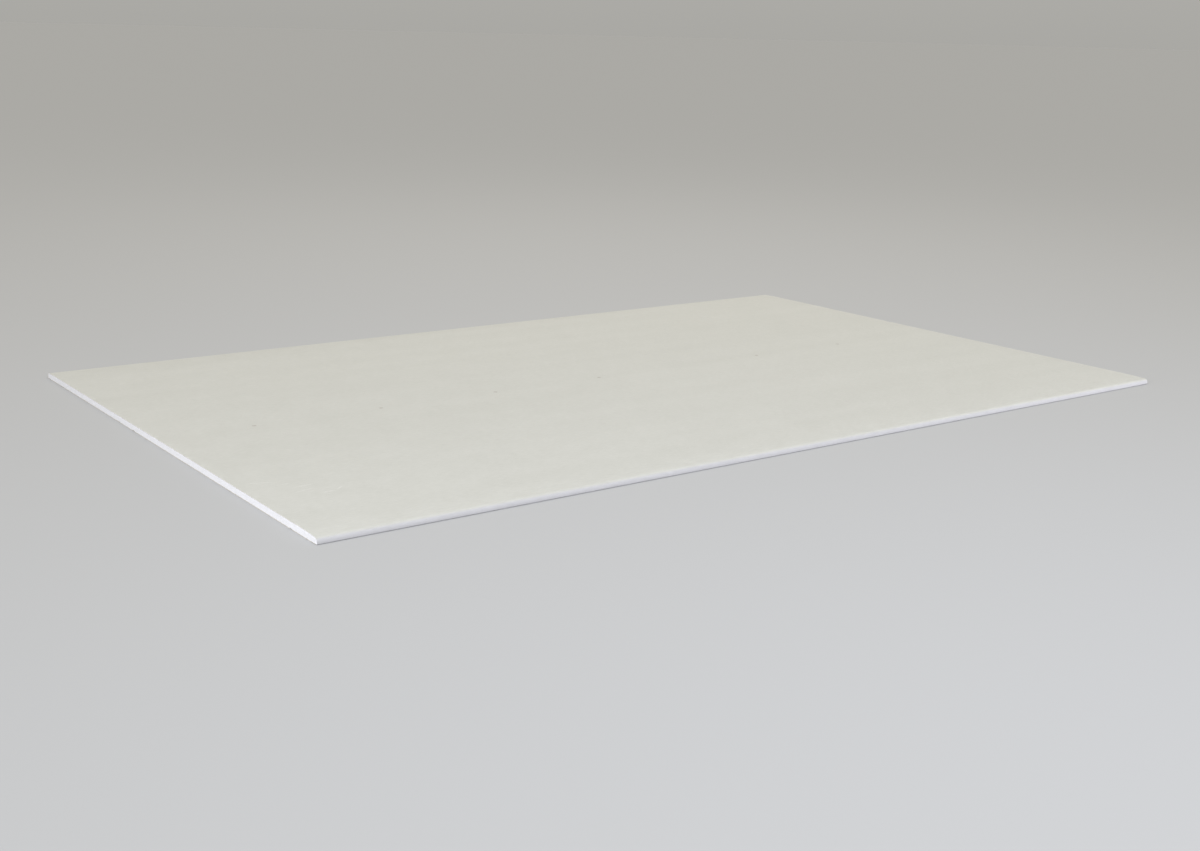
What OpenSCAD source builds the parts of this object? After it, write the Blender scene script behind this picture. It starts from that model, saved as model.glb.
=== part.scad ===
// Drywall sheet with half-round tapered long edges.
// The sheet lies on its back with its face up. The origin is at the centre of the back,
// +X runs along the length, +Y across the width and +Z out of the face. Sizes are in millimetres.

/* [Sheet] */
// Length between the two square-cut ends
sheet_length = 2000; // [600:10:3600]
// Width over the two formed long edges
sheet_width = 1250; // [400:10:1300]
// Thickness of the flat middle of the sheet
sheet_thickness = 12.5; // [9.5:0.5:25]

/* [Long edges] */
// Width of the shallow taper, from the long edge in to where the face is flat
taper_width = 40; // [30:1:90]
// Depth of the taper, from the face down to the crown of the rounded nose
taper_depth = 1.4; // [0.6:0.1:2.5]
// Height of the upright land between the back and the rounded nose
edge_land = 3; // [2:0.1:5]
// Radius that eases the corner between the land and the back
back_corner_radius = 1.2; // [0.3:0.1:1.8]

/* [Hidden] */
$fn = 128;

paper_color = [0.83, 0.82, 0.79];
half_width = sheet_width / 2;

// How far a cutting or joining shape reaches past the edge that it makes
overlap = 1;

// The nose rounds the whole height between the land and its crown
nose_radius = sheet_thickness - taper_depth - edge_land;
nose_centre = [half_width - nose_radius, edge_land];

// The taper is the tangent to the nose from the point where the face starts to fall, so the
// paper rolls over the edge without a crease
start_inward = taper_width - nose_radius;
start_upward = nose_radius + taper_depth;
start_distance = norm([start_inward, start_upward]);
taper_angle = acos(nose_radius / start_distance) - atan2(start_inward, start_upward);
taper_run = sqrt(pow(start_distance, 2) - pow(nose_radius, 2));

// The flat middle and the stock under the taper, from the centre line to one long edge
module half_body() {
    polygon([
        [0, 0],
        [half_width, 0],
        [half_width, edge_land],
        nose_centre,
        [half_width - taper_width - overlap, sheet_thickness],
        [0, sheet_thickness]
    ]);
}

// The rounded nose with the taper that leaves its crown. They are drawn square to the taper and
// then turned down to it, and the taper runs on past the face.
module nose_and_taper() {
    taper_reach = taper_run + 2 * overlap;
    translate(nose_centre)
        rotate(-taper_angle) {
            circle(r = nose_radius);
            translate([-taper_reach, 0]) square([taper_reach, nose_radius]);
        }
}

// What the eased back corner leaves outside itself
module back_corner_offcut() {
    difference() {
        translate([half_width - back_corner_radius, -overlap])
            square(back_corner_radius + overlap);
        translate([half_width - back_corner_radius, back_corner_radius])
            circle(r = back_corner_radius);
    }
}

// Half of the section, kept between the planes of the back and the face
module half_section() {
    difference() {
        intersection() {
            square([half_width + overlap, sheet_thickness]);
            union() {
                half_body();
                nose_and_taper();
            }
        }
        back_corner_offcut();
    }
}

// The whole section: both long edges are alike
module sheet_section() {
    half_section();
    mirror([1, 0]) half_section();
}

// The section's width runs along Y and its height along Z, and the sheet is drawn out along X
module drywall_sheet() {
    color(paper_color)
        translate([-sheet_length / 2, 0, 0])
            rotate([90, 0, 90])
                linear_extrude(height = sheet_length)
                    sheet_section();
}

drywall_sheet();
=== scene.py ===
"""Looks of the drywall sheet: its paper skin, formed long edges and cut ends, face up on a studio floor.

All places are in metres in the sheet's own frame: +X along its length, +Y across its width and +Z out
of its face.
"""

import math
import random

import bpy
import numpy as np
from mathutils import Matrix, Vector, noise


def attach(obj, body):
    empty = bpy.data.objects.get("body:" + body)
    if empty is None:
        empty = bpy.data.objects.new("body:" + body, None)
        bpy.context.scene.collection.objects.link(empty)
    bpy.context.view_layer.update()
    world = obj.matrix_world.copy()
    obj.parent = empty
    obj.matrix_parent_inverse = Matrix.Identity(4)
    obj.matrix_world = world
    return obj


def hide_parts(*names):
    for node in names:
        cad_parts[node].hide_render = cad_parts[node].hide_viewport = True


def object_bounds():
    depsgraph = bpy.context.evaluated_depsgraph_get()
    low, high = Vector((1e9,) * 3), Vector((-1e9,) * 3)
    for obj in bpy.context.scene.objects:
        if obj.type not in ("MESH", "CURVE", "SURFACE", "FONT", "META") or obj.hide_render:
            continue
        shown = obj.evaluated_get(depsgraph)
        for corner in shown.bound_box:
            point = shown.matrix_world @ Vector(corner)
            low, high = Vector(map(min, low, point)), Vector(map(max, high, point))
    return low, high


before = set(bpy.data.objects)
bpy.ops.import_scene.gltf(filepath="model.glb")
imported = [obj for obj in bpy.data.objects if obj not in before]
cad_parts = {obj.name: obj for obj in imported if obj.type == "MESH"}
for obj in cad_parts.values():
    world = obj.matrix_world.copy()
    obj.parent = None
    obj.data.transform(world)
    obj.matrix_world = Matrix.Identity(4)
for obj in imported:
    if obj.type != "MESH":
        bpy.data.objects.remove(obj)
cad_low, cad_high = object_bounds()

NODE = "drywall_sheet"
MM = 0.001

# The sheet's overall size, from the frame
HALF_LENGTH = cad_high.x
HALF_WIDTH = cad_high.y
THICKNESS = cad_high.z

# The section of a long edge
TAPER_WIDTH = 40 * MM
TAPER_DEPTH = 1.4 * MM
EDGE_LAND = 3 * MM
BACK_CORNER_RADIUS = 1.2 * MM
TAPER_BEND = 4 * MM  # over this length the face bends softly into the taper
NOSE_RADIUS = THICKNESS - TAPER_DEPTH - EDGE_LAND

# The paper: the face paper is folded round the long edges and the liner of the back is laid over it
PAPER = 0.45 * MM
FOLD_SHOWS = 18 * MM  # the strip of folded face paper that the liner leaves bare
LINER_STEP = 0.35 * MM

# The grid of the skin
BACK_CORNER_STEPS = 3
LAND_STEPS = 2
NOSE_STEPS = 10
FINE_ACROSS = 2.5 * MM
FINE_ALONG = 5 * MM
MARGIN = 52 * MM  # the width of the fine strip beside each long edge
BLOCK_ACROSS = 10  # fine cells to a block of the plain middle
BLOCK_ALONG = 5
RIM_ROWS = 2  # rows of the cut end that show the paper's edge
CREASE_ANGLE = math.radians(40)  # faces that bend more than this from each other meet in a crease

# How far behind each cut end the first lines of the grid lie
END_LINES = [0, 0.5 * MM, 1.2 * MM, 2.2 * MM, 3.6 * MM, 5.5 * MM, 8 * MM, 12 * MM]

# Kinds of surface, in the order of the piece's materials
FACE, BACK, CORE, RIM = range(4)

# The sides of the sheet, and the share of the map's height that each one's band takes
BACK_SIDE, FACE_SIDE, LOW_EDGE, HIGH_EDGE, LOW_END, HIGH_END = range(6)
BAND_HEIGHTS = np.array([0.31, 0.48, 0.04, 0.04, 0.05, 0.05])
BAND_GAP = 0.005
MAP_NAME = "OFBake"

# The waves of the relief: the height of each, about how many there are to a metre, and its seed
FACE_WAVE = (0.10 * MM, 3, 1)
EDGE_WAVE = (0.12 * MM, 9, 2)
EDGE_RIPPLE = (0.05 * MM, 40, 3)
CUT_WAVE = (0.25 * MM, 120, 4)
CUT_RIPPLE = (0.2 * MM, 420, 5)
CORE_WAVE = (0.25 * MM, 160, 6)
CORE_RIPPLE = (0.12 * MM, 500, 7)

# How far a wavy surface is set back, so that it stays within the plain shape
FACE_SET_BACK = 0.10 * MM
EDGE_SET_BACK = 0.15 * MM
CORE_SET_BACK = 0.25 * MM
RAGGED_REACH = 4 * MM  # how far behind the cut its raggedness fades out

# The knocks on the edges
KNOCK_SEED = 12
CORNER_CHIP_ASIDE = 33 * MM  # from the long edge to the chip beside the close corner
CHIPS_PER_END = 16
CHIPS_ON_FACE = 0.6  # the share of the chips that are in the face's rim, and not in the back's
CHIP_MARGIN = 25 * MM  # no chip lies nearer to a long edge
DENTS_PER_EDGE = 9
DENT_MARGIN = 50 * MM  # no dent lies nearer to a cut end

# Colours as a screen shows them, from 0 to 255
FACE_DARK, FACE_PALE = (191, 190, 182), (212, 211, 205)
# The nose's colours are painted cool light and slight shade: the same paper as the face, tinted as light
# falls on the edge
NOSE_PAINTED_COOL_DARK, NOSE_PAINTED_COOL_PALE = (189, 188, 190), (210, 209, 211)
FACE_FLECK = (150, 138, 120)
RUBBED_PAPER = (232, 231, 228)
GYPSUM_DUST = (238, 238, 236)
MARK_INK = (158, 146, 138)
BACK_DARK, BACK_PALE = (163, 154, 138), (203, 195, 180)
BACK_DARK_FLECK = (112, 98, 82)
BACK_PALE_FLECK = (226, 222, 212)
CORE_DARK, CORE_PALE = (227, 227, 232), (247, 247, 253)
CORE_GRAIN = (204, 204, 206)
# The pores' darker colour is painted shade in the pits
CORE_PORE_SHADE = (176, 174, 168)
RIM_DARK, RIM_PALE = (176, 168, 152), (218, 214, 204)

# Patterns of the paper: how many to a metre along, across and up, and the noise's detail and roughness
STREAKS = (0.8, 14, 14, 3.0, 0.5)
MOTTLE = (24, 38, 38, 4.0, 0.6)
FIBRES = (70, 480, 480, 4.0, 0.65)

# The painted cool light and slight shade on the nose, its paper bluer and a little darker than the face: how
# far in from the edge it starts, and where it is full
COOL_LIGHT_STARTS = 0.55 * NOSE_RADIUS
COOL_LIGHT_FULL = 0.1 * NOSE_RADIUS

# The gypsum dust on the paper reaches this far from the cut ends
DUST_REACH = 16 * MM

# The printed screw marks along the middle of the face
MARKS = [-0.819, -0.559, -0.299, -0.039, 0.409, 0.669]
MARK_RADIUS = 4.5 * MM

# The rubbed strokes on the face: where each starts and ends, and how strongly it shows
SCUFFS = [
    ((-0.985, -0.327), (-0.936, -0.345), 0.75),
    ((-0.944, -0.364), (-0.915, -0.363), 0.75),
    ((-0.928, -0.388), (-0.886, -0.385), 0.8),
    ((-0.940, -0.415), (-0.890, -0.403), 0.6),
    ((-0.902, -0.436), (-0.870, -0.434), 1.0),
    ((-0.873, -0.435), (-0.853, -0.418), 1.0),
]
SCUFF_HALF_WIDTH = 3 * MM

# The camera, as fitted to the corners of the photographed sheet
IMAGE_WIDTH = 1200
FOCAL_PIXELS = 1505
SENSOR = 36
EYE = Vector((-1.897, -2.500, 0.719))
YAW = math.radians(36.7)
PITCH = math.radians(-14.61)
ROLL = math.radians(-1.38)

# The studio: the horizon has the colour that the lit floor shows, so the floor has no visible end
FLOOR = (0.54, 0.538, 0.537, 1.0)
FLOOR_REACH = 400
HORIZON = (0.4, 0.394, 0.372, 1.0)
ZENITH = (0.86, 0.845, 0.79, 1.0)

# The sockets of a mix node that take and give colours
MIX_FIRST, MIX_SECOND, MIX_RESULT = 6, 7, 2


def edge_section():
    """Points up one long edge, as (outward, up), from the back to the nose's top, and the taper's slope."""
    start_inward = TAPER_WIDTH - NOSE_RADIUS
    start_upward = NOSE_RADIUS + TAPER_DEPTH
    reach = math.hypot(start_inward, start_upward)
    taper_angle = math.acos(NOSE_RADIUS / reach) - math.atan2(start_inward, start_upward)
    points = []
    for step in range(BACK_CORNER_STEPS + 1):
        turn = math.radians(-90 + 90 * step / BACK_CORNER_STEPS)
        outward = HALF_WIDTH - BACK_CORNER_RADIUS * (1 - math.cos(turn))
        points.append((outward, BACK_CORNER_RADIUS * (1 + math.sin(turn))))
    for step in range(1, LAND_STEPS + 1):
        points.append((HALF_WIDTH, BACK_CORNER_RADIUS + (EDGE_LAND - BACK_CORNER_RADIUS) * step / LAND_STEPS))
    for step in range(1, NOSE_STEPS + 1):
        turn = (math.pi / 2 - taper_angle) * step / NOSE_STEPS
        outward = HALF_WIDTH - NOSE_RADIUS * (1 - math.cos(turn))
        points.append((outward, EDGE_LAND + NOSE_RADIUS * math.sin(turn)))
    return points, math.tan(taper_angle)


def lines_across(nose_top):
    """Where the grid's lines lie across the width, and the lines between which the plain middle lies."""
    middle = HALF_WIDTH - MARGIN
    fold = HALF_WIDTH - FOLD_SHOWS
    outer = np.arange(nose_top - PAPER, fold + FINE_ACROSS / 2, -FINE_ACROSS)
    inner = np.arange(fold - PAPER, middle + FINE_ACROSS / 2, -FINE_ACROSS)
    margin = np.concatenate([[nose_top], outer, [fold], inner])
    blocks = round(2 * middle / (FINE_ACROSS * BLOCK_ACROSS))
    plain = np.linspace(-middle, middle, blocks * BLOCK_ACROSS + 1)
    return np.concatenate([-margin, plain, margin[::-1]]), (len(margin), len(margin) + len(plain) - 1)


def lines_along():
    """Where the grid's lines lie along the length, and the lines between which the plain middle lies."""
    ends = np.array(END_LINES)
    middle = HALF_LENGTH - END_LINES[-1]
    blocks = round(2 * middle / (FINE_ALONG * BLOCK_ALONG))
    plain = np.linspace(-middle, middle, blocks * BLOCK_ALONG + 1)
    lines = np.concatenate([ends[:-1] - HALF_LENGTH, plain, HALF_LENGTH - ends[-2::-1]])
    return lines, (len(ends) - 1, len(ends) + len(plain) - 2)


def section_grid(across, side, slope):
    """The section as a grid of (y, z) points: lines across the width by points up the edge."""
    nose_top = across[-1]
    foot = side[0][0]
    low = np.stack([across * foot / nose_top, np.zeros_like(across)], axis=1)
    past_bend = (np.abs(across) - (HALF_WIDTH - TAPER_WIDTH)) / TAPER_BEND
    fall = slope * TAPER_BEND * np.logaddexp(0, past_bend)
    high = np.stack([across, THICKNESS - fall], axis=1)
    right = np.array(side)
    right[-1] = high[-1]
    left = right * [-1, 1]
    u = ((across + nose_top) / (2 * nose_top))[:, None, None]
    v = (right[:, 1] / right[-1, 1])[None, :, None]
    between_rows = (1 - v) * low[:, None] + v * high[:, None]
    between_sides = (1 - u) * left[None] + u * right[None]
    corners = (1 - u) * ((1 - v) * left[0] + v * left[-1]) + u * ((1 - v) * right[0] + v * right[-1])
    return between_rows + between_sides - corners


class Skin:
    """The sheet's closed surface, on lines i across the width, j up the thickness and k along the length."""

    def __init__(self):
        side, slope = edge_section()
        self.across, self.plain_across = lines_across(side[-1][0])
        self.along, self.plain_along = lines_along()
        self.section = section_grid(self.across, side, slope)
        self.last_i = len(self.across) - 1
        self.last_j = len(side) - 1
        self.last_k = len(self.along) - 1
        self.vertices = {}
        self.faces = []
        self.kinds = []
        self.sides = []
        self.add_broad_side(0)
        self.add_broad_side(self.last_j)
        self.add_long_edges()
        self.add_ends()

    def face(self, corners, kind, side, outward):
        """Adds a face. Its corners run anticlockwise from outside, or clockwise where outward is false."""
        face = [self.vertices.setdefault(corner, len(self.vertices)) for corner in corners]
        self.faces.append(face if outward else face[::-1])
        self.kinds.append(kind)
        self.sides.append(side)

    def broad_kind(self, i, j):
        """The kind of surface of the cells between the lines i and i + 1 on the face or the back."""
        middle = abs(self.section[i, 0, 0] + self.section[i + 1, 0, 0]) / 2
        return BACK if j == 0 and middle < HALF_WIDTH - FOLD_SHOWS else FACE

    def block_outline(self, i0, i1, k0, k1):
        """The grid points round a block, with each fine point on a side that borders a fine strip."""
        first_i, last_i = self.plain_across
        first_k, last_k = self.plain_along
        near = [(i0, k) for k in range(k0, k1, 1 if i0 == first_i else k1 - k0)]
        right = [(i, k1) for i in range(i0, i1, 1 if k1 == last_k else i1 - i0)]
        far = [(i1, k) for k in range(k1, k0, -1 if i1 == last_i else k0 - k1)]
        left = [(i, k0) for i in range(i1, i0, -1 if k0 == first_k else i0 - i1)]
        return near + right + far + left

    def add_block(self, i, j, k):
        """A block of the plain middle: one face, or a fan of triangles where it borders a fine strip."""
        side = FACE_SIDE if j > 0 else BACK_SIDE
        outline = [(a, j, b) for a, b in self.block_outline(i, i + BLOCK_ACROSS, k, k + BLOCK_ALONG)]
        centre = (i + BLOCK_ACROSS // 2, j, k + BLOCK_ALONG // 2)
        faces = [outline]
        if len(outline) > 4:
            faces = [[centre, start, end] for start, end in zip(outline, outline[1:] + outline[:1])]
        for corners in faces:
            self.face(corners, self.broad_kind(i, j), side, j > 0)

    def add_broad_side(self, j):
        """The face or the back: fine cells beside the edges and ends, and large blocks between them."""
        first_i, last_i = self.plain_across
        first_k, last_k = self.plain_along
        side = FACE_SIDE if j > 0 else BACK_SIDE
        for i in range(self.last_i):
            for k in range(self.last_k):
                if not (first_i <= i < last_i and first_k <= k < last_k):
                    cell = [(i, j, k), (i, j, k + 1), (i + 1, j, k + 1), (i + 1, j, k)]
                    self.face(cell, self.broad_kind(i, j), side, j > 0)
        for i in range(first_i, last_i, BLOCK_ACROSS):
            for k in range(first_k, last_k, BLOCK_ALONG):
                self.add_block(i, j, k)

    def add_long_edges(self):
        """Both long edges, each from the back to the top of its nose."""
        for i in (0, self.last_i):
            for j in range(self.last_j):
                for k in range(self.last_k):
                    cell = [(i, j, k), (i, j + 1, k), (i, j + 1, k + 1), (i, j, k + 1)]
                    self.face(cell, FACE, HIGH_EDGE if i > 0 else LOW_EDGE, i > 0)

    def add_ends(self):
        """Both cut ends: the core, and the paper's rim round it."""
        for k in (0, self.last_k):
            for i in range(self.last_i):
                for j in range(self.last_j):
                    rim = i in (0, self.last_i - 1) or not RIM_ROWS <= j < self.last_j - RIM_ROWS
                    cell = [(i, j, k), (i + 1, j, k), (i + 1, j + 1, k), (i, j + 1, k)]
                    self.face(cell, RIM if rim else CORE, HIGH_END if k > 0 else LOW_END, k > 0)

    def places(self):
        """The vertices' grid numbers and their places before any relief."""
        grid = np.array(list(self.vertices))
        section = self.section[grid[:, 0], grid[:, 1]]
        return grid, np.column_stack([self.along[grid[:, 2]], section])

    def map_places(self):
        """For each corner of each face, its place on the map: each side is a band, one above the other."""
        i, j, k = np.array(list(self.vertices))[np.concatenate(self.faces)].T
        side = np.repeat(self.sides, [len(face) for face in self.faces])
        across = (self.across[i] - self.across[0]) / (self.across[-1] - self.across[0])
        along = (self.along[k] - self.along[0]) / (self.along[-1] - self.along[0])
        u = np.where(side >= LOW_END, across, along)
        v = np.where(side <= FACE_SIDE, across, j / self.last_j)
        starts = np.cumsum(BAND_HEIGHTS + BAND_GAP) - BAND_HEIGHTS - BAND_GAP
        return np.column_stack([u, starts[side] + v * BAND_HEIGHTS[side]])


def waves(points, height, scale, seed):
    """Smooth noise at each point, up to the height either way, whose bumps are about 1 / scale long."""
    offset = Vector((seed, -seed, seed))
    return height * np.array([noise.noise(Vector(point) * scale + offset) for point in points.tolist()])


def relieve(skin):
    """The places of the skin's vertices with the relief of paper, folds, cut and knocks."""
    grid, rest = skin.places()
    i, j, k = grid.T
    on_edge = (i == 0) | (i == skin.last_i)
    on_end = (k == 0) | (k == skin.last_k)
    points = rest.copy()

    # The face is a little wavy, and what lies below it follows
    raised = rest[:, 2] > 0
    above = np.column_stack([rest[raised, :2], np.full(raised.sum(), THICKNESS)])
    points[raised, 2] += (waves(above, *FACE_WAVE) - FACE_SET_BACK) * rest[raised, 2] / THICKNESS

    # The long edges are a little wavier
    edge = rest[on_edge]
    sideways = waves(edge, *EDGE_WAVE) + waves(edge, *EDGE_RIPPLE) - EDGE_SET_BACK
    points[on_edge, 1] += np.sign(edge[:, 1]) * sideways

    # The liner stands proud of the folded face paper, so beside the edges the back is clear of the floor
    fold = np.abs(rest[:, 1]) >= HALF_WIDTH - FOLD_SHOWS
    low = fold & (rest[:, 2] < BACK_CORNER_RADIUS)
    points[low, 2] += LINER_STEP * (1 - rest[low, 2] / BACK_CORNER_RADIUS)

    # The cut is a little ragged, which fades out behind it
    inward = -np.sign(rest[:, 0])
    behind = HALF_LENGTH - np.abs(rest[:, 0])
    beside = behind < RAGGED_REACH
    cut = np.column_stack([-inward[beside] * HALF_LENGTH, rest[beside, 1:]])
    ragged = np.abs(waves(cut, *CUT_WAVE)) + np.abs(waves(cut, *CUT_RIPPLE))
    points[beside, 0] += inward[beside] * ragged * (1 - behind[beside] / RAGGED_REACH)

    # The crumbly core lies a little behind the paper
    core = on_end & ~on_edge & (j >= RIM_ROWS) & (j <= skin.last_j - RIM_ROWS)
    crumbled = CORE_SET_BACK + waves(rest[core], *CORE_WAVE) + waves(rest[core], *CORE_RIPPLE)
    points[core, 0] += inward[core] * np.maximum(crumbled, 0)

    for centre, reach, push in knocks():
        away = (((rest - centre) / reach) ** 2).sum(axis=1)
        points += np.maximum(1 - away, 0)[:, None] ** 2 * push
    return points


def knock(centre, reach, push, size=1.0):
    """A knock's centre, reach and push in metres, from a reach and push in millimetres at size 1."""
    return np.array(centre), np.array(reach) * MM * size, np.array(push) * MM * size


def knocks():
    """All knocks on the sheet: each one's centre, how far it reaches and how far it pushes the surface."""
    draw = random.Random(KNOCK_SEED)
    return [corner_chip(), *end_chips(draw), *edge_dents(draw), *blunted_corners(draw)]


def corner_chip():
    """The chip in the close end's upper edge, beside the corner."""
    centre = (-HALF_LENGTH, -HALF_WIDTH + CORNER_CHIP_ASIDE, THICKNESS)
    return knock(centre, reach=(5, 6, 4), push=(1.5, 0, -1.0))


def end_chips(draw):
    """Small chips along the edges of both cut ends."""
    widest = HALF_WIDTH - CHIP_MARGIN
    for end in (-1, 1):
        for _ in range(CHIPS_PER_END):
            on_face = draw.random() < CHIPS_ON_FACE
            across = draw.uniform(-widest, widest)
            size = draw.uniform(0.5, 1.2)
            centre = (end * HALF_LENGTH, across, THICKNESS if on_face else 0)
            reach = (3, 5 + 5 * draw.random(), 2.5)
            push = (-end * 0.9, 0, -0.45 if on_face else 0.45)
            yield knock(centre, reach, push, size)


def edge_dents(draw):
    """Shallow dents along the long edges."""
    farthest = HALF_LENGTH - DENT_MARGIN
    for side in (-1, 1):
        for _ in range(DENTS_PER_EDGE):
            size = draw.uniform(0.4, 1.0)
            along = draw.uniform(-farthest, farthest)
            height = draw.uniform(5, 10) * MM
            centre = (along, side * (HALF_WIDTH - 2 * MM), height)
            yield knock(centre, reach=(14, 9, 7), push=(0, -side * 0.7, -0.25), size=size)


def blunted_corners(draw):
    """The four corners, each a little blunted."""
    for end in (-1, 1):
        for side in (-1, 1):
            blunt = 0.8 * draw.uniform(0.6, 1.1)
            centre = (end * HALF_LENGTH, side * HALF_WIDTH, 4 * MM)
            yield knock(centre, reach=(5, 5, 12), push=(-end * blunt, -side * blunt, 0))


def srgb(red, green, blue):
    """A colour given as a screen shows it, from 0 to 255, in the shader's linear values."""
    shown = np.array([red, green, blue]) / 255
    linear = np.where(shown > 0.04045, ((shown + 0.055) / 1.055) ** 2.4, shown / 12.92)
    return (*linear.tolist(), 1.0)


class Graph:
    """A material's node tree, with short ways to add nodes and join them."""

    def __init__(self, name):
        self.material = bpy.data.materials.new(name)
        self.material.use_nodes = True
        self.tree = self.material.node_tree
        self.shader = self.tree.nodes["Principled BSDF"]
        self.place = self.node("TexCoord").outputs["Object"]

    def node(self, kind, inputs=None, **settings):
        """Adds a node of the kind, with its settings, and gives each named input a value or joins it."""
        node = self.tree.nodes.new("ShaderNode" + kind)
        for name, value in settings.items():
            setattr(node, name, value)
        for name, value in (inputs or {}).items():
            self.give(node.inputs[name], value)
        return node

    def give(self, socket, value):
        """Joins another node's output to the socket, or sets the socket's own value."""
        if isinstance(value, bpy.types.NodeSocket):
            self.tree.links.new(value, socket)
        else:
            socket.default_value = value

    def finish(self, **inputs):
        """Sets the shader's inputs, named with underscores for spaces, and returns the material."""
        for name, value in inputs.items():
            self.give(self.shader.inputs[name.replace("_", " ")], value)
        return self.material

    def math(self, operation, *values):
        """The result of a sum or the like on values or other nodes' outputs."""
        return self.node("Math", dict(enumerate(values)), operation=operation).outputs[0]

    def from_middle(self, axis):
        """How far the place lies from the sheet's middle along an axis."""
        return self.math("ABSOLUTE", self.node("SeparateXYZ", {0: self.place}).outputs[axis])

    def stretched(self, x, y, z):
        """The place with each axis scaled, so that a pattern of size 1 is 1/x by 1/y by 1/z metres."""
        return self.node("VectorMath", {0: self.place, 1: (x, y, z)}, operation="MULTIPLY").outputs[0]

    def noise(self, x, y, z, detail, roughness=0.5):
        """Smooth noise from 0 to 1, with so many bumps to a metre along each axis."""
        inputs = {"Vector": self.stretched(x, y, z), "Scale": 1.0, "Detail": detail, "Roughness": roughness}
        return self.node("TexNoise", inputs).outputs[0]

    def specks(self, x, y, z, share, radius):
        """1 within specks of mixed sizes, one in a share of the pattern's cells, and 0 outside them."""
        cells = self.node("TexVoronoi", {"Vector": self.stretched(x, y, z), "Scale": 1.0})
        lots = self.node("SeparateXYZ", {0: cells.outputs["Color"]}).outputs
        size = self.math("MULTIPLY_ADD", lots[1], radius * 0.7, radius * 0.3)
        near = self.between(self.math("DIVIDE", cells.outputs["Distance"], size), 1.0, 0.5)
        return self.math("MULTIPLY", near, self.math("LESS_THAN", lots[0], share))

    def between(self, value, start, end, low=0.0, high=1.0):
        """Low at start, high at end, and a smooth rise between them."""
        inputs = {"Value": value, "From Min": start, "From Max": end, "To Min": low, "To Max": high}
        return self.node("MapRange", inputs, interpolation_type="SMOOTHSTEP").outputs[0]

    def rough(self, pattern, low, high):
        """A roughness that goes from low to high with a noise, which is mostly between 0.3 and 0.7."""
        return self.between(pattern, 0.3, 0.7, low, high)

    def mix(self, share, first, second):
        """The mix of two colours, each a node's output or a colour as a screen shows it."""
        node = self.node("Mix", {0: share}, data_type="RGBA")
        for socket, colour in ((MIX_FIRST, first), (MIX_SECOND, second)):
            self.give(node.inputs[socket], srgb(*colour) if isinstance(colour, tuple) else colour)
        return node.outputs[MIX_RESULT]

    def layer(self, colour, mask, strength, over):
        """The colour with another laid over it at the strength where the mask is 1."""
        return self.mix(self.math("MULTIPLY", mask, strength), colour, over)

    def bump(self, height, distance):
        """The normal of a surface whose relief is the height times the distance."""
        return self.node("Bump", {"Height": height, "Distance": distance, "Strength": 1.0}).outputs[0]


def paper_tone(graph, streak, mottle, fibre):
    """From 0 to 1: long soft streaks, cloudy patches and fine fibres, each with its weight."""
    tone = 0.5
    for pattern, weight in ((STREAKS, streak), (MOTTLE, mottle), (FIBRES, fibre)):
        centred = graph.math("SUBTRACT", graph.noise(*pattern), 0.5)
        tone = graph.math("MULTIPLY_ADD", centred, weight, tone)
    return tone


def screw_marks(graph):
    """1 on the faded round marks along the middle of the face."""
    marks = 0.0
    for along in MARKS:
        inputs = {0: graph.place, 1: (along, 0.0, THICKNESS)}
        distance = graph.node("VectorMath", inputs, operation="DISTANCE").outputs["Value"]
        mark = graph.between(distance, MARK_RADIUS * 1.15, MARK_RADIUS * 0.7)
        marks = graph.math("MAXIMUM", mark, marks)
    worn = graph.between(graph.noise(300, 300, 300, 3.0), 0.35, 0.6, 0.35, 1.0)
    return graph.math("MULTIPLY", marks, worn)


def stroke(graph, start, end):
    """1 in the middle of a thin stroke on the face, falling to 0 at its rim."""
    middle = ((start[0] + end[0]) / 2, (start[1] + end[1]) / 2, THICKNESS)
    turn = math.atan2(end[1] - start[1], end[0] - start[0])
    size = (math.dist(start, end) / 2, SCUFF_HALF_WIDTH, 1.0)
    inputs = {"Vector": graph.place, "Location": middle, "Rotation": (0.0, 0.0, turn), "Scale": size}
    local = graph.node("Mapping", inputs, vector_type="TEXTURE").outputs[0]
    distance = graph.node("VectorMath", {0: local}, operation="LENGTH").outputs["Value"]
    return graph.between(distance, 1.0, 0.3)


def scuffs(graph):
    """Pale rubbed strokes on the face beside the close corner, broken by the paper's grain."""
    marks = 0.0
    for start, end, strength in SCUFFS:
        mark = graph.math("MULTIPLY", stroke(graph, start, end), strength)
        marks = graph.math("MAXIMUM", mark, marks)
    grain = graph.between(graph.noise(260, 420, 420, 4.0, 0.65), 0.38, 0.6)
    return graph.math("MULTIPLY", marks, grain)


def dust(graph):
    """Gypsum dust on the paper beside the cut ends."""
    beside = graph.between(graph.from_middle("X"), HALF_LENGTH - DUST_REACH, HALF_LENGTH)
    powder = graph.between(graph.noise(90, 60, 60, 5.0, 0.7), 0.45, 0.7)
    return graph.math("MULTIPLY", beside, powder)


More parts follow.
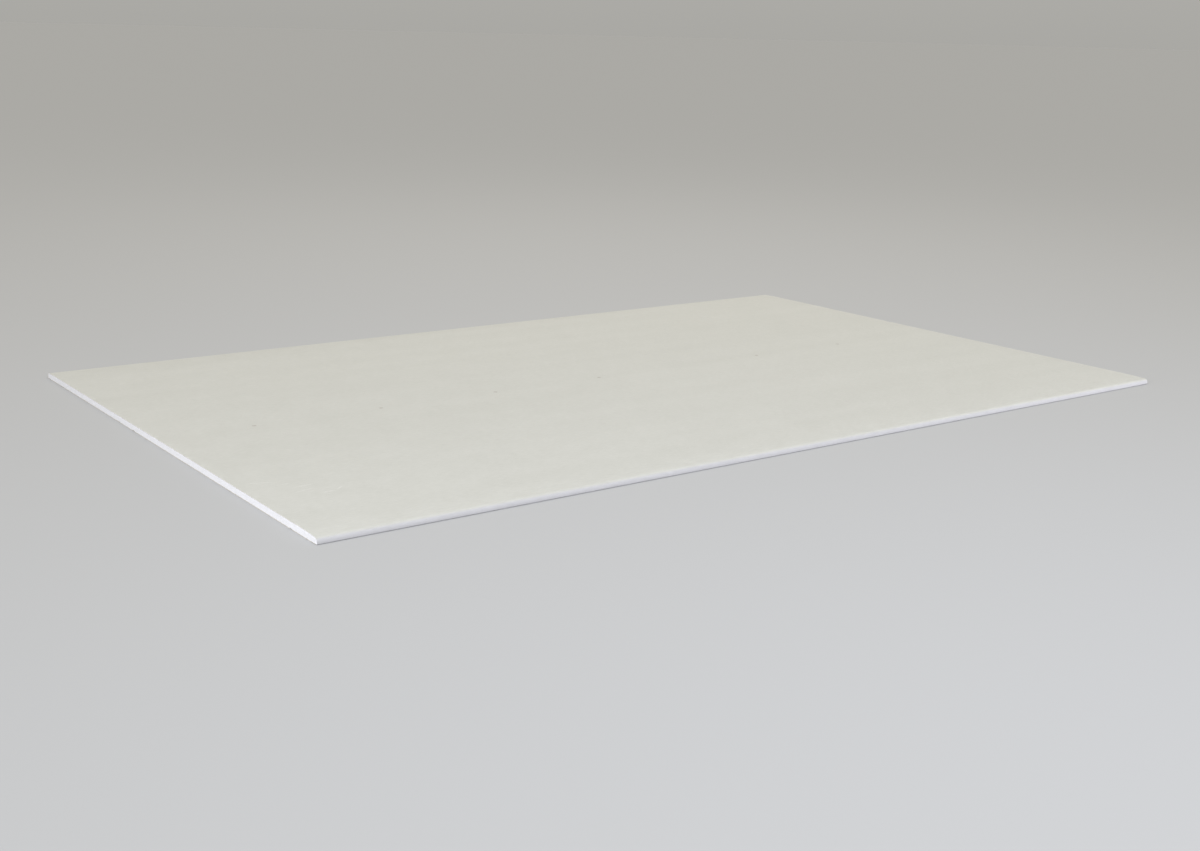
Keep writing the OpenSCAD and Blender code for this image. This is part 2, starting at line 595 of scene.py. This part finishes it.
def face_paper():
    """Warm pale-grey paper with painted cool light and slight shade round the nose, and flecks, rubbed
    strokes, dust and printed marks.
    """
    graph = Graph("face_paper")
    tone = paper_tone(graph, streak=0.3, mottle=0.48, fibre=1.05)
    # Painted cool light and slight shade round the nose, mixed over the face paper's own colour
    nose = graph.between(graph.from_middle("Y"), HALF_WIDTH - COOL_LIGHT_STARTS, HALF_WIDTH - COOL_LIGHT_FULL)
    flat_colour = graph.mix(tone, FACE_DARK, FACE_PALE)
    colour = graph.mix(nose, flat_colour, graph.mix(tone, NOSE_PAINTED_COOL_DARK, NOSE_PAINTED_COOL_PALE))
    flecks = graph.specks(150, 460, 460, share=0.09, radius=0.24)
    colour = graph.layer(colour, flecks, 0.28, FACE_FLECK)
    colour = graph.layer(colour, scuffs(graph), 0.45, RUBBED_PAPER)
    colour = graph.layer(colour, dust(graph), 0.15, GYPSUM_DUST)
    colour = graph.layer(colour, screw_marks(graph), 0.6, MARK_INK)
    height = graph.math("ADD", graph.noise(*FIBRES), graph.noise(1500, 1500, 1500, 2.0))
    return graph.finish(
        Base_Color=colour,
        Roughness=graph.rough(graph.noise(*MOTTLE), 0.66, 0.8),
        Specular_IOR_Level=0.35,
        Normal=graph.bump(height, 0.08 * MM),
    )


def back_paper():
    """The browner grey liner of the back, with dark and pale flecks."""
    graph = Graph("back_paper")
    tone = paper_tone(graph, streak=0.7, mottle=0.8, fibre=0.8)
    colour = graph.mix(tone, BACK_DARK, BACK_PALE)
    dark_flecks = graph.specks(120, 340, 340, share=0.13, radius=0.26)
    colour = graph.layer(colour, dark_flecks, 0.5, BACK_DARK_FLECK)
    pale_flecks = graph.specks(150, 420, 420, share=0.09, radius=0.26)
    colour = graph.layer(colour, pale_flecks, 0.5, BACK_PALE_FLECK)
    height = graph.math("ADD", graph.noise(90, 420, 420, 5.0, 0.7), graph.noise(1300, 1300, 1300, 2.0))
    return graph.finish(
        Base_Color=colour,
        Roughness=graph.rough(graph.noise(30, 45, 45, 4.0, 0.6), 0.78, 0.92),
        Specular_IOR_Level=0.3,
        Normal=graph.bump(height, 0.14 * MM),
    )


def gypsum_core():
    """White gypsum as the cut leaves it: cloudy, grainy, dragged along and open-pored, with painted shade in
    its pores.
    """
    graph = Graph("gypsum_core")
    cloud = graph.noise(120, 60, 260, 5.0, 0.65)
    grain = graph.noise(1300, 1300, 1300, 4.0, 0.75)
    drag = graph.noise(400, 25, 900, 4.0, 0.6)
    pores = graph.specks(900, 900, 900, share=0.22, radius=0.3)
    colour = graph.mix(cloud, CORE_DARK, CORE_PALE)
    colour = graph.mix(graph.between(grain, 0.5, 0.25), colour, CORE_GRAIN)
    # Painted shade: the pores are darkened in colour as well as pitted by the bump
    colour = graph.layer(colour, pores, 0.4, CORE_PORE_SHADE)
    pitted = graph.math("MULTIPLY_ADD", pores, -0.4, grain)
    return graph.finish(
        Base_Color=colour,
        Roughness=graph.rough(cloud, 0.85, 0.97),
        Specular_IOR_Level=0.25,
        Normal=graph.bump(graph.math("MULTIPLY_ADD", drag, 0.6, pitted), 0.3 * MM),
    )


def paper_rim():
    """The torn edge of the paper round the cut."""
    graph = Graph("paper_rim")
    torn = graph.noise(500, 500, 500, 4.0, 0.7)
    return graph.finish(
        Base_Color=graph.mix(torn, RIM_DARK, RIM_PALE),
        Roughness=graph.rough(torn, 0.8, 0.95),
        Specular_IOR_Level=0.25,
        Normal=graph.bump(torn, 0.15 * MM),
    )


def add_sheet():
    """The whole sheet as one closed mesh, with the paper, the cut core and the paper's cut rim."""
    skin = Skin()
    mesh = bpy.data.meshes.new("sheet_skin")
    mesh.from_pydata(relieve(skin).tolist(), [], skin.faces)
    mesh.polygons.foreach_set("material_index", skin.kinds)
    mesh.uv_layers.new(name=MAP_NAME).data.foreach_set("uv", skin.map_places().ravel())
    for material in (face_paper(), back_paper(), gypsum_core(), paper_rim()):
        mesh.materials.append(material)
    mesh.shade_smooth()
    mesh.set_sharp_from_angle(angle=CREASE_ANGLE)
    sheet = bpy.data.objects.new("sheet_skin", mesh)
    bpy.context.collection.objects.link(sheet)
    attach(sheet, "root")
    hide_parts(NODE)
    return sheet


def add_camera():
    """The camera at the photograph's viewing angle, with the sheet in the middle of the picture."""
    forward = Vector((math.sin(YAW) * math.cos(PITCH), math.cos(YAW) * math.cos(PITCH), math.sin(PITCH)))
    level = Vector((math.cos(YAW), -math.sin(YAW), 0))
    down = forward.cross(level)
    right = math.cos(ROLL) * level + math.sin(ROLL) * down
    up = math.sin(ROLL) * level - math.cos(ROLL) * down
    data = bpy.data.cameras.new("camera")
    data.sensor_width = SENSOR
    data.lens = SENSOR * FOCAL_PIXELS / IMAGE_WIDTH
    camera = bpy.data.objects.new("camera", data)
    camera.matrix_world = Matrix.Translation(EYE) @ Matrix((right, up, -forward)).transposed().to_4x4()
    bpy.context.collection.objects.link(camera)
    bpy.context.scene.camera = camera


def add_floor():
    """A plain pale floor that runs on to the horizon."""
    corners = [(x * FLOOR_REACH, y * FLOOR_REACH, 0) for x, y in ((-1, -1), (1, -1), (1, 1), (-1, 1))]
    mesh = bpy.data.meshes.new("floor")
    mesh.from_pydata(corners, [], [(0, 1, 2, 3)])
    mesh.materials.append(Graph("floor").finish(Base_Color=FLOOR, Roughness=1.0, Specular_IOR_Level=0.0))
    floor = bpy.data.objects.new("floor", mesh)
    bpy.context.collection.objects.link(floor)


def add_light(kind, name, place, target, size, power, colour):
    """A soft light that faces its target: a sun, whose size is in degrees, or a square box."""
    data = bpy.data.lights.new(name, kind)
    if kind == "SUN":
        data.angle = math.radians(size)
    else:
        data.size = size
    data.energy = power
    data.color = colour
    light = bpy.data.objects.new(name, data)
    light.visible_camera = False
    way = Vector(target) - Vector(place)
    light.matrix_world = Matrix.Translation(place) @ way.to_track_quat("-Z", "Y").to_matrix().to_4x4()
    bpy.context.collection.objects.link(light)
    return light


def add_lights(sheet):
    """A cool box above the front, a low key, a warm box overhead, and two low boxes on the edge and end."""
    add_light("AREA", "soft_box", (-0.8, -2.6, 3.0), (-0.7, -1.6, 0), 1.8, 60, (0.78, 0.85, 1.0))
    add_light("SUN", "key", (-9.5, 0.6, 1.9), (0, 0, 0), 30, 0.75, (0.98, 0.985, 1.0))
    add_light("AREA", "far_box", (1.2, 1.4, 3.2), (1.2, 1.4, 0), 2.0, 12, (1.0, 0.95, 0.86))
    side_box = add_light("AREA", "side_box", (2.2, -3.0, 0.22), (0.6, -0.6, 0), 0.4, 42, (0.9, 0.915, 1.0))
    end_box = add_light("AREA", "end_box", (-2.2, -0.75, 0.3), (-1.0, -0.5, 0), 0.4, 5.2, (0.95, 0.97, 1.0))
    # The low boxes light the sheet alone, or they would leave bright pools on the floor
    lit = bpy.data.collections.new("lit_by_low_boxes")
    lit.objects.link(sheet)
    for light in (side_box, end_box):
        light.light_linking.receiver_collection = lit


def add_world():
    """A soft dome of light, brighter overhead than at the horizon."""
    world = bpy.data.worlds.new("studio")
    world.use_nodes = True
    tree = world.node_tree
    way = tree.nodes.new("ShaderNodeTexCoord")
    axes = tree.nodes.new("ShaderNodeSeparateXYZ")
    height = tree.nodes.new("ShaderNodeMapRange")
    mix = tree.nodes.new("ShaderNodeMix")
    mix.data_type = "RGBA"
    mix.inputs[MIX_FIRST].default_value = HORIZON
    mix.inputs[MIX_SECOND].default_value = ZENITH
    tree.links.new(way.outputs["Generated"], axes.inputs[0])
    tree.links.new(axes.outputs["Z"], height.inputs["Value"])
    tree.links.new(height.outputs[0], mix.inputs[0])
    tree.links.new(mix.outputs[MIX_RESULT], tree.nodes["Background"].inputs["Color"])
    bpy.context.scene.world = world


add_camera()
sheet = add_sheet()
add_floor()
add_lights(sheet)
add_world()
bpy.context.scene.view_settings.view_transform = "Standard"
